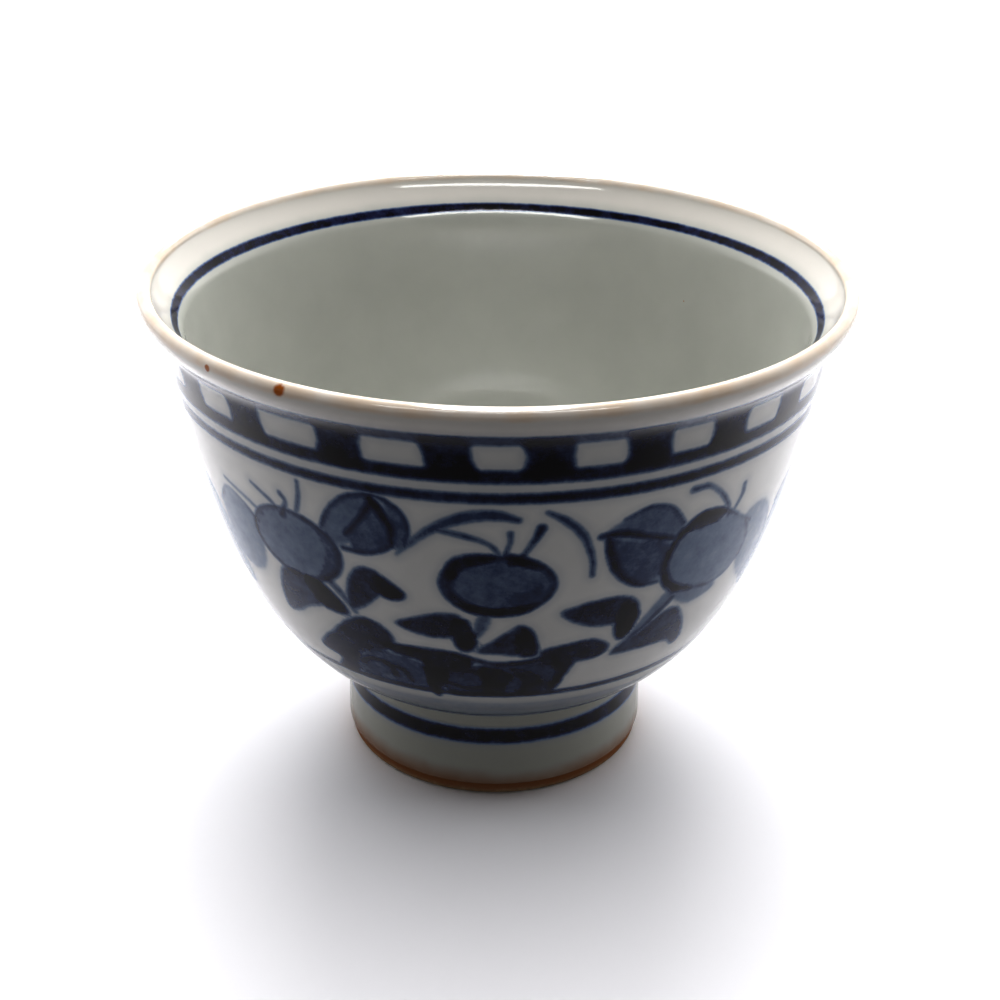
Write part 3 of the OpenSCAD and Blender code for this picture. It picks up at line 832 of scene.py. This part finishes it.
def well_porcelain(sizes, colours):
    """Glaze wiped into the foot well: thin and a little dull, with grey clouds."""
    made, tree, shader = material("thin_wiped_glaze")
    # glazed() darkens this low coat to the grey-green foot colour: painted shade under the cup.
    base = glazed(tree, colours, colours.glaze, colours.glaze, sizes.cup_h)
    tree.links.new(base, shader.inputs["Base Color"])
    gloss(tree, shader, 0.18)
    return made


def bare_clay(colours):
    """Fired clay with no glaze: dry and sandy, toasted orange-brown where it meets the glaze."""
    made, tree, shader = material("toasted_bare_stoneware")
    coords = add(tree, "ShaderNodeTexCoord", out="Object")
    height = add(tree, "ShaderNodeSeparateXYZ", None, {0: coords}, "Z")
    waves = add(tree, "ShaderNodeTexNoise", None, {"Vector": coords, "Scale": PER_MM / 3.0, "Detail": 3.0})
    risen = add(tree, "ShaderNodeMath", TIMES_PLUS, {0: waves, 1: 0.8 * MM, 2: height})
    toasted = add(tree, "ShaderNodeMapRange", SMOOTH, {0: risen, 1: 0.6 * MM, 2: 1.6 * MM})
    grains = add(tree, "ShaderNodeTexNoise", None, {
        "Vector": coords, "Scale": PER_MM / 0.5, "Detail": 4.0, "Roughness": 0.7})
    sand = add(tree, "ShaderNodeValToRGB", None, {"Fac": grains}, stops=[
        (0.35, darker(colours.clay, 0.6)), (0.65, tuple(colours.clay))])
    tint = add(tree, "ShaderNodeMix", BLENDED, {0: toasted, 6: sand, 7: tuple(colours.toast)}, BLENDED_OUT)
    tree.links.new(tint, shader.inputs["Base Color"])
    grit = add(tree, "ShaderNodeBump", None, {"Height": grains, "Strength": 0.8, "Distance": 0.1 * MM})
    tree.links.new(grit, shader.inputs["Normal"])
    shader.inputs["Roughness"].default_value = 0.85
    return made


def porcelain_body():
    """The clay under the glaze: pale, dense and matt, with a fine grain."""
    made, tree, shader = material("fired_porcelain_body")
    coords = add(tree, "ShaderNodeTexCoord", out="Object")
    grains = add(tree, "ShaderNodeTexNoise", None, {"Vector": coords, "Scale": PER_MM / 0.6, "Detail": 4.0})
    tint = add(tree, "ShaderNodeValToRGB", None, {"Fac": grains}, stops=[
        (0.3, linear("b9b4a8")), (0.7, linear("cfcabd"))])
    tree.links.new(tint, shader.inputs["Base Color"])
    shader.inputs["Roughness"].default_value = 0.7
    return made


# In front the floor gives back as little light as this grey, fading between two places along Y; and
# between two distances from the cup it starts to glow white. The camera sees white paper all over.
FLOOR_FRONT = "505052"
FLOOR_FADE = (-0.11, 0.05)
SWEEP_GLOW = (0.2, 0.75)


def paper_sweep(colours):
    """A matt white paper sweep, very faintly clouded, grey in front to every ray but the camera's as painted
    shade, and glowing white far out.
    """
    made, tree, shader = material("matt_white_paper")
    coords = add(tree, "ShaderNodeTexCoord", out="Object")
    mist = add(tree, "ShaderNodeTexNoise", None, {"Vector": coords, "Scale": PER_MM / 60.0})
    shade = add(tree, "ShaderNodeValToRGB", None, {"Fac": mist}, stops=[
        (0.3, darker(colours.floor, 0.985)), (0.7, tuple(colours.floor))])
    back = add(tree, "ShaderNodeSeparateXYZ", None, {0: coords}, "Y")
    fade = add(tree, "ShaderNodeMapRange", SMOOTH, {0: back, 1: FLOOR_FADE[0], 2: FLOOR_FADE[1]})
    # Painted shade: the floor in front gives back grey to bounced light, while the camera sees white.
    given = add(tree, "ShaderNodeMix", BLENDED, {0: fade, 6: linear(FLOOR_FRONT), 7: shade}, BLENDED_OUT)
    seen = add(tree, "ShaderNodeLightPath", out="Is Camera Ray")
    tint = add(tree, "ShaderNodeMix", BLENDED, {0: seen, 6: given, 7: shade}, BLENDED_OUT)
    tree.links.new(tint, shader.inputs["Base Color"])
    shader.inputs["Roughness"].default_value = 0.55
    shader.inputs["Specular IOR Level"].default_value = 0.3
    far = add(tree, "ShaderNodeVectorMath", {"operation": "LENGTH"}, {0: coords}, "Value")
    risen = add(tree, "ShaderNodeMapRange", SMOOTH, {0: far, 1: SWEEP_GLOW[0], 2: SWEEP_GLOW[1]})
    glow = add(tree, "ShaderNodeMath", TIMES, {0: risen, 1: seen})
    shader.inputs["Emission Color"].default_value = (1, 1, 1, 1)
    tree.links.new(glow, shader.inputs["Emission Strength"])
    return made


# ---------------------------------------------------------------- operators

# Steps between the rings of the lathed surfaces.
WALL_STEP = 0.95 * MM
PAINT_STEP = 0.8 * MM
INSIDE_LINE_STEP = 0.35 * MM
JOIN_STEP = 0.3 * MM
LIP_STEP = 0.16 * MM
GLAZE_EDGE_STEP = 0.12 * MM
HIDDEN_STEP = 4 * MM
HIDDEN_LIP_STEP = 0.4 * MM


class TEACUP_OT_outside_coat(bpy.types.Operator):
    """Turn the outside glaze coat and brush its decoration"""

    bl_idname = "teacup.outside_coat"
    bl_label = "Outside coat"

    def execute(self, context):
        scene = context.scene
        sizes, paint, colours = scene.teacup_sizes, scene.teacup_paint, scene.teacup_colours
        lines = [(getattr(paint, name), getattr(paint, name + "_w")) for name in
                 ("lip_line", "band_line", "second_line", "ground_line", "join_line", "foot_band")]
        side = outer_side(sizes)
        lip = lip_round(sizes, 0, 90)
        lip_low = sizes.cup_h - sizes.lip_t
        zones = line_zones(lines)
        zones.append((paint.ground_line - 1 * MM, paint.second_line + 1 * MM, PAINT_STEP))
        zones.append((sizes.foot_h - 1 * MM, sizes.foot_h + 1.6 * MM, JOIN_STEP))
        zones.append((0, sizes.bare_h + 0.5 * MM, GLAZE_EDGE_STEP))
        zones.append((lip_low - 0.5 * MM, sizes.cup_h, LIP_STEP))
        edge = sizes.glaze_t * 0.8
        rolled = curve((side[0][0] - edge, sizes.bare_h), (side[0][0] - edge / 3, sizes.bare_h),
                       (side[0][0], sizes.bare_h + edge / 4), (side[0][0], sizes.bare_h + edge), 6)
        surface = np.vstack([rolled, side[1:], lip[1:]])
        clay = pushed(np.vstack([side, lip[1:]]), sizes.glaze_t)
        front = respaced(surface, zones, WALL_STEP)
        back = respaced(clay, [(lip_low - 1 * MM, sizes.cup_h, HIDDEN_LIP_STEP)], HIDDEN_STEP)
        outline = np.vstack([front, back[::-1]])
        piece = turned("outside_glaze_coat", outline, sizes.turns, closed=True)
        for kind, reach in (("edges", EDGE_REACH), ("lines", LINE_REACH), (None, 0)):
            turn, height, radius = where(piece)
            surface_r = np.interp(height * MM, front[:, 1], front[:, 0]) / MM
            brush = Brush(side, turn, height, np.abs(radius - surface_r) < 0.15, seed=7)
            self.decorate(brush, paint)
            if kind:
                refine(piece, brush.close[kind] < reach)
        brush.write(piece)
        finished(piece, painted_porcelain(sizes, paint, colours), GLAZE_SLOT,
                 "outside_glaze", "window_glaze", "lip_line", "check_squares", "band_line",
                 "second_line", "ground_line", "foot_band")
        return {"FINISHED"}

    def decorate(self, brush, paint):
        """Brushes the lines, the chequer and the painted group, which comes three times round."""
        brush.band(paint.lip_line, paint.lip_line_w, 0.66)
        brush.band(paint.band_line, paint.band_line_w, 0.95)
        brush.band(paint.second_line, paint.second_line_w, 0.93)
        brush.band(paint.ground_line, paint.ground_line_w, 0.82, 0.2)
        brush.band(paint.join_line, paint.join_line_w, 0.7, 0.2)
        brush.band(paint.underside_wash, paint.underside_wash_w, 0.15, 0.2)
        brush.band(paint.underside_line, paint.underside_line_w, 0.45, 0.2)
        brush.band(paint.foot_band, paint.foot_band_w, 0.97)
        squares(brush, paint)
        for shift in (0, 120, 240):
            brush.shift = shift
            brush.unsteady = 1.0 if shift else 0.0
            left_spray(brush)
            right_spray(brush)
            rock(brush)
            centre_spray(brush)
        brush.shift = 0.0


class TEACUP_OT_inside_coat(bpy.types.Operator):
    """Turn the inside glaze coat and brush its line"""

    bl_idname = "teacup.inside_coat"
    bl_label = "Inside coat"

    def execute(self, context):
        scene = context.scene
        sizes, paint, colours = scene.teacup_sizes, scene.teacup_paint, scene.teacup_colours
        side = inner_side(sizes)
        whole = np.vstack([lip_round(sizes, 90, 180), side[1:]])
        lip_low = sizes.cup_h - sizes.lip_t
        zones = line_zones([(paint.inside_line, paint.inside_line_w)], INSIDE_LINE_STEP)
        zones.append((lip_low - 0.5 * MM, sizes.cup_h, LIP_STEP))
        front = respaced(whole, zones, WALL_STEP)
        hidden_zones = [(lip_low - 1 * MM, sizes.cup_h, HIDDEN_LIP_STEP)]
        back = respaced(pushed(whole, sizes.glaze_t), hidden_zones, HIDDEN_STEP)
        piece = turned("inside_glaze_coat", np.vstack([front[::-1], back]), sizes.turns, closed=False)
        turn, height, _ = where(piece)
        brush = Brush(side, turn, height, np.ones(len(turn), bool), seed=3)
        brush.band(paint.inside_line, paint.inside_line_w, 0.93, 0.12)
        brush.write(piece)
        finished(piece, inside_porcelain(sizes, colours), GLAZE_SLOT, "inside_glaze", "inside_line")
        return {"FINISHED"}


class TEACUP_OT_bare_foot(bpy.types.Operator):
    """Turn the unglazed foot ring"""

    bl_idname = "teacup.bare_foot"
    bl_label = "Bare foot ring"

    def execute(self, context):
        sizes, colours = context.scene.teacup_sizes, context.scene.teacup_colours
        outer, _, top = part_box("foot_ring")[1]
        inner = sizes.foot_r - sizes.foot_wall
        well_top = inner - sizes.well_draft
        outer_top = outer - sizes.foot_draft * top / sizes.foot_h
        ease = 0.9 * MM
        stand_in = rounded_corner((well_top, top), (inner, 0), (outer, 0), ease)
        stand_out = rounded_corner((inner, 0), (outer, 0), (outer_top, top), ease * 0.8)
        path = np.vstack([[(well_top, top)], stand_in, stand_out, [(outer_top, top)]])
        outline = respaced(path, [(-1 * MM, 2.5 * MM, 0.2 * MM)], 1.2 * MM)
        piece = turned("bare_foot_ring", outline, sizes.turns // 2, closed=True)
        finished(piece, bare_clay(colours), CLAY_SLOT, "foot_ring")
        return {"FINISHED"}


class TEACUP_OT_foot_well(bpy.types.Operator):
    """Turn the thin glaze coat in the foot well"""

    bl_idname = "teacup.foot_well"
    bl_label = "Foot well coat"

    def execute(self, context):
        sizes, colours = context.scene.teacup_sizes, context.scene.teacup_colours
        low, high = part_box("foot_well_glaze")
        ceiling, wall_low = high[2], low[2]
        wall_r, top_r = high[0], sizes.foot_r - sizes.foot_wall - sizes.well_draft
        coat = sizes.glaze_t
        centre = (0, ceiling - coat)
        corner = rounded_corner(centre, (top_r - coat, ceiling - coat), (wall_r - coat, wall_low), 1.2 * MM)
        end = curve((wall_r - coat, wall_low + coat), (wall_r - coat, wall_low + coat / 4),
                    (wall_r - coat / 3, wall_low), (wall_r, wall_low), 5)
        face = respaced(np.vstack([[centre], corner, [(wall_r - coat, wall_low + coat)]]), [], 0.6 * MM)
        outline = np.vstack([face, end, [(top_r, ceiling), (0, ceiling)]])
        piece = turned("foot_well_glaze_coat", outline, sizes.turns // 2, closed=False)
        finished(piece, well_porcelain(sizes, colours), GLAZE_SLOT, "foot_well_glaze")
        return {"FINISHED"}


class TEACUP_OT_clay(bpy.types.Operator):
    """Give the clay between the coats its material"""

    bl_idname = "teacup.clay"
    bl_label = "Clay body"

    def execute(self, context):
        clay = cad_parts["clay_bowl"]
        clay.data.materials.clear()
        clay.data.materials.append(porcelain_body())
        return {"FINISHED"}


# The camera's place in metres, its tilt down and its roll in radians, its lens in mm, and its shift.
CAMERA_AT = (0.0, -0.2045, 0.1363)
CAMERA_DOWN = 0.465
CAMERA_ROLL = 0.0098
CAMERA_LENS = 61.1
CAMERA_SHIFT = 0.0041
# The floor lies a hair below the foot, so that the two faces don't meet in one plane.
FLOOR_R = 3.0
FLOOR_GAP = 0.05 * MM
CONTRAST = 0.75


def soft_light(name, place, aim, width, height, power, mirrored=True, spread=True):
    """A soft box at a place, facing a point: mirrored in the glaze or not, and lighting matt paint or not."""
    data = bpy.data.lights.new(name, "AREA")
    data.shape = "RECTANGLE"
    data.size, data.size_y = width, height
    data.energy = power
    made = bpy.data.objects.new(name, data)
    bpy.context.scene.collection.objects.link(made)
    made.location = place
    made.visible_glossy = mirrored
    made.visible_diffuse = spread
    made.rotation_euler = (Vector(aim) - Vector(place)).to_track_quat("-Z", "Y").to_euler()


def tent_world(scene):
    """A white tent: bright behind and above the cup, dim before it, and plain white to the camera."""
    world = bpy.data.worlds.new("white_tent")
    scene.world = world
    world.use_nodes = True
    tree = world.node_tree
    tree.nodes.clear()
    # Each range runs along the direction that light comes from, whose three parts go from -1 to 1.
    way = add(tree, "ShaderNodeTexCoord", out="Generated")
    parts = add(tree, "ShaderNodeSeparateXYZ", None, {0: way}).node.outputs
    behind = add(tree, "ShaderNodeMapRange", SMOOTH, {0: parts["Y"], 1: -0.35, 2: 0.75})
    sideways = add(tree, "ShaderNodeMath", {"operation": "ABSOLUTE"}, {0: parts["X"]})
    sides = add(tree, "ShaderNodeMapRange", SMOOTH, {0: sideways, 1: 0.45, 2: 0.95, 4: 0.35})
    above = add(tree, "ShaderNodeMapRange", SMOOTH, {0: parts["Z"], 1: 0.2, 2: 0.95, 4: 0.1})
    low = add(tree, "ShaderNodeMapRange", SMOOTH, {0: parts["Z"], 1: 0.0, 2: 0.45, 3: 0.8, 4: 0.05})
    level = add(tree, "ShaderNodeMath", TIMES_PLUS, {0: behind, 1: 0.75, 2: low})
    level = add(tree, "ShaderNodeMath", TIMES_PLUS, {0: sides, 1: behind, 2: level})
    level = add(tree, "ShaderNodeMath", PLUS, {0: above, 1: level})
    lit = add(tree, "ShaderNodeBackground", None, {"Color": (1, 1, 1, 1), "Strength": level})
    plain = add(tree, "ShaderNodeBackground", None, {"Color": (1, 1, 1, 1), "Strength": 1.0})
    seen = add(tree, "ShaderNodeLightPath", out="Is Camera Ray")
    shown = add(tree, "ShaderNodeMixShader", None, {0: seen, 1: lit, 2: plain})
    end = tree.nodes.new("ShaderNodeOutputWorld")
    tree.links.new(shown, end.inputs["Surface"])


class TEACUP_OT_stage(bpy.types.Operator):
    """Lay the white floor, and set the lights and the camera"""

    bl_idname = "teacup.stage"
    bl_label = "Stage"

    def execute(self, context):
        scene = context.scene
        bpy.ops.object.select_all(action="DESELECT")
        bpy.ops.mesh.primitive_circle_add(
            vertices=128, radius=FLOOR_R, fill_type="NGON", location=(0, 0, -FLOOR_GAP))
        floor = context.object
        floor.name = "paper_floor"
        floor.data.materials.append(paper_sweep(scene.teacup_colours))
        tent_world(scene)
        # Each box: its place and the point it faces in metres, its width and height, and its power in watts.
        soft_light("back_box", (0.0, 0.55, 0.62), (0, 0, 0.03), 0.6, 0.5, 5.0)
        soft_light("left_box", (-0.6, 0.22, 0.2), (0, 0, 0.03), 0.5, 0.4, 0.8, mirrored=False)
        soft_light("right_box", (0.6, 0.22, 0.2), (0, 0, 0.03), 0.5, 0.4, 1.2, mirrored=False)
        soft_light("top_box", (0.0, 0.1, 0.62), (0, 0, 0), 0.9, 0.9, 5.2, mirrored=False)
        soft_light("glint_box", (0.0, 0.02, 0.62), (0, 0, 0), 0.2, 0.36, 7.0, spread=False)
        soft_light("front_glint_box", (0.0, -0.36, 0.58), (0, 0, 0.05), 0.7, 0.08, 2.6, spread=False)
        right = Vector((1, 0, 0))
        forward = Vector((0, math.cos(CAMERA_DOWN), -math.sin(CAMERA_DOWN)))
        up = right.cross(forward)
        rolled_right = math.cos(CAMERA_ROLL) * right + math.sin(CAMERA_ROLL) * up
        rolled_up = math.cos(CAMERA_ROLL) * up - math.sin(CAMERA_ROLL) * right
        data = bpy.data.cameras.new("camera")
        data.lens = CAMERA_LENS
        data.sensor_width = 36
        data.shift_x = CAMERA_SHIFT
        data.clip_start = 0.01
        camera = bpy.data.objects.new("camera", data)
        scene.collection.objects.link(camera)
        turn = Matrix((rolled_right, rolled_up, -forward)).transposed()
        camera.matrix_world = Matrix.Translation(CAMERA_AT) @ turn.to_4x4()
        scene.camera = camera
        scene.view_settings.view_transform = "Standard"
        scene.view_settings.gamma = CONTRAST
        return {"FINISHED"}


class TEACUP_PT_panel(bpy.types.Panel):
    """Lists the sizes, the colours and the steps that build the cup"""

    bl_label = "Teacup"
    bl_idname = "TEACUP_PT_panel"
    bl_space_type = "VIEW_3D"
    bl_region_type = "UI"
    bl_category = "Teacup"

    def draw(self, context):
        for group in GROUPS:
            box = self.layout.box()
            owner = getattr(context.scene, group)
            for name in owner.bl_rna.properties.keys():
                if name not in ("rna_type", "name"):
                    box.prop(owner, name)
        for step in STEPS:
            self.layout.operator(step.bl_idname)


GROUPS = {"teacup_sizes": TeacupSizes, "teacup_paint": TeacupPaint, "teacup_colours": TeacupColours}
STEPS = (TEACUP_OT_outside_coat, TEACUP_OT_inside_coat, TEACUP_OT_bare_foot, TEACUP_OT_foot_well,
         TEACUP_OT_clay, TEACUP_OT_stage)


def register():
    for made in (*GROUPS.values(), *STEPS, TEACUP_PT_panel):
        bpy.utils.register_class(made)
    for name, group in GROUPS.items():
        setattr(bpy.types.Scene, name, PointerProperty(type=group))


def unregister():
    for name in GROUPS:
        delattr(bpy.types.Scene, name)
    for made in (TEACUP_PT_panel, *reversed(STEPS), *reversed(GROUPS.values())):
        bpy.utils.unregister_class(made)


def main():
    """Builds the cup and its stage."""
    register()
    for step in STEPS:
        family, action = step.bl_idname.split(".")
        getattr(getattr(bpy.ops, family), action)()


if __name__ == "__main__":
    main()
